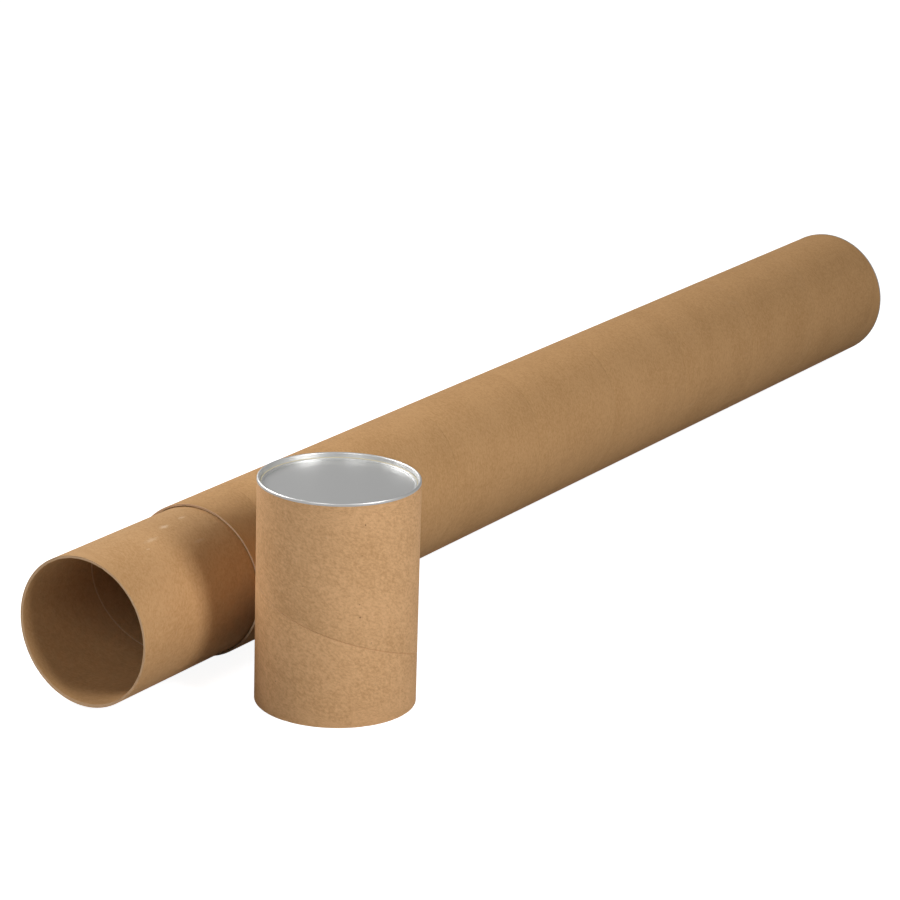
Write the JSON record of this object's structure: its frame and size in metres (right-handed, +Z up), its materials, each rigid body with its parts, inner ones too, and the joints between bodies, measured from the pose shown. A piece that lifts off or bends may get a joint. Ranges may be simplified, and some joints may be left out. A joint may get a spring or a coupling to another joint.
{
  "type": "cardboard mailing tube",
  "caption": "Telescoping kraft mailing tube lying on its side, the inner tube standing out of its mouth as a spigot, with its metal-ended push-on cap taken off and stood beside it.",
  "frame": {"origin": "centre of the whole object's footprint, on the surface it lies on", "axes": "+X along the long tube from its mouth to its closed end, +Z up, and the loose cap stands on the -Y side"},
  "size_m": [1.087, 0.2334, 0.1574],
  "materials": {
    "outer_kraft": "matt brown kraft paper, spirally wound",
    "inner_kraft": "matt brown kraft paper, spirally wound",
    "cap_kraft": "matt brown kraft paper, spirally wound",
    "tinplate": "satin tinplate, lacquered",
    "cap_tinplate": "satin tinplate, lacquered"
  },
  "bodies": {
    "outer": {"outer_tube": "outer_kraft", "outer_tube_end": "tinplate", "cap_tube": "cap_kraft", "cap_end": "cap_tinplate"},
    "inner": {"inner_tube": "inner_kraft"}
  },
  "joints": [
    {"name": "telescope", "type": "slide", "parent": "outer", "child": "inner", "axis": [-1, 0, 0], "range_m": [0, 0.75]}
  ]
}
